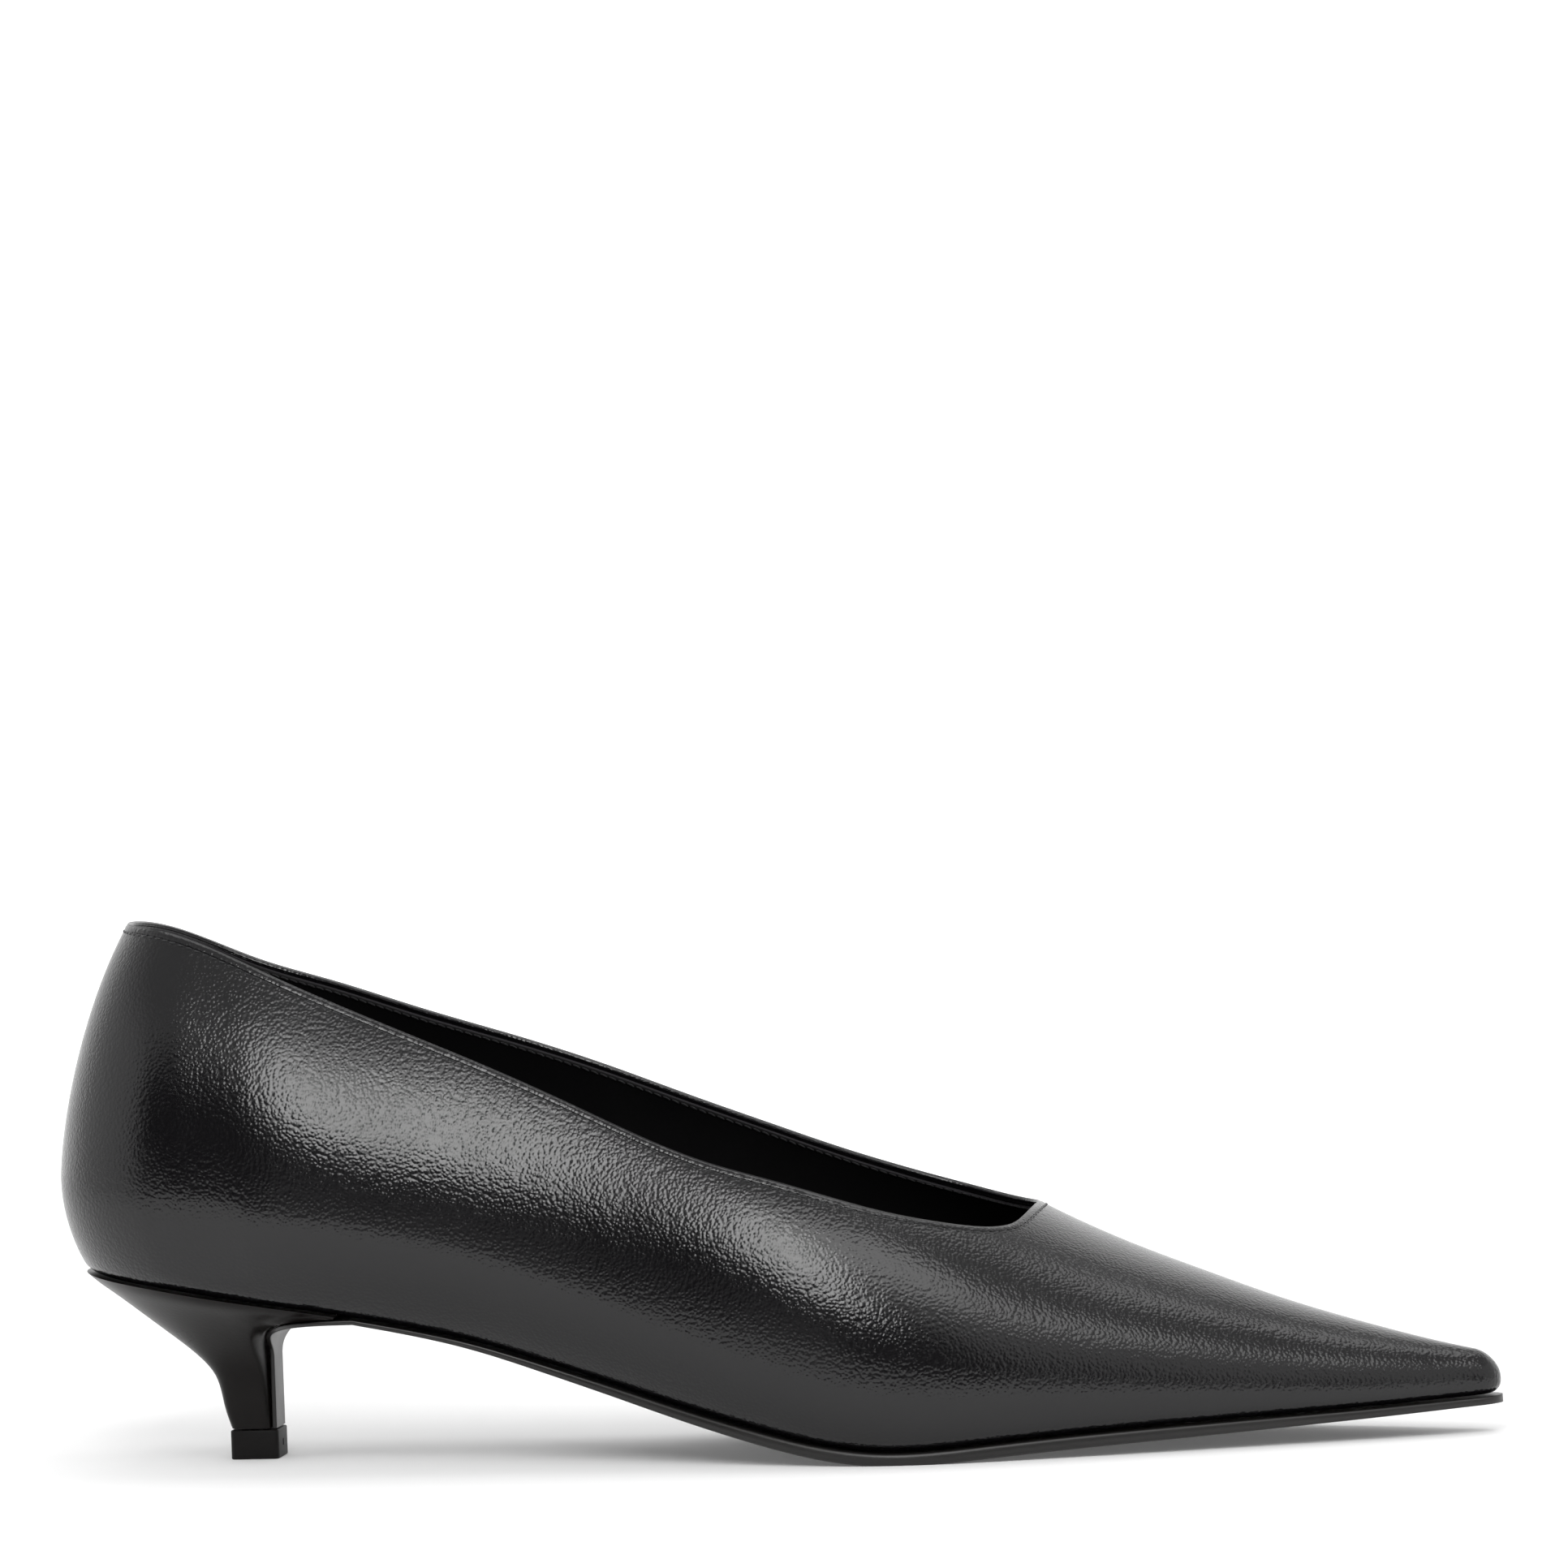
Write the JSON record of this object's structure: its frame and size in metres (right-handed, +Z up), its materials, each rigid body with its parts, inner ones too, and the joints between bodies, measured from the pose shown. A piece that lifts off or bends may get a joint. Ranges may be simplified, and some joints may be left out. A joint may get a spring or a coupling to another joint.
{
  "type": "kitten heel pump",
  "caption": "Black leather pointed-toe pump with a low kitten heel, plain top line and thin leather sole.",
  "frame": {"origin": "on the floor under the middle of the shoe's box, with the shoe standing on top lift and ball", "axes": "+X to the toe, +Y to the inner (medial) side of this right shoe, +Z up"},
  "size_m": [0.2756, 0.0788, 0.1038],
  "materials": {
    "upper_leather": "smooth black calf, fine grain, soft gloss",
    "insole_leather": "matt black",
    "sole_leather": "painted black, soft gloss",
    "heel_leather": "smooth black cover, soft gloss",
    "lift_rubber": "matt black"
  },
  "bodies": {
    "root": {"upper": "upper_leather", "insole": "insole_leather", "outsole": "sole_leather", "heel": "heel_leather", "top_lift": "lift_rubber"}
  },
  "joints": []
}
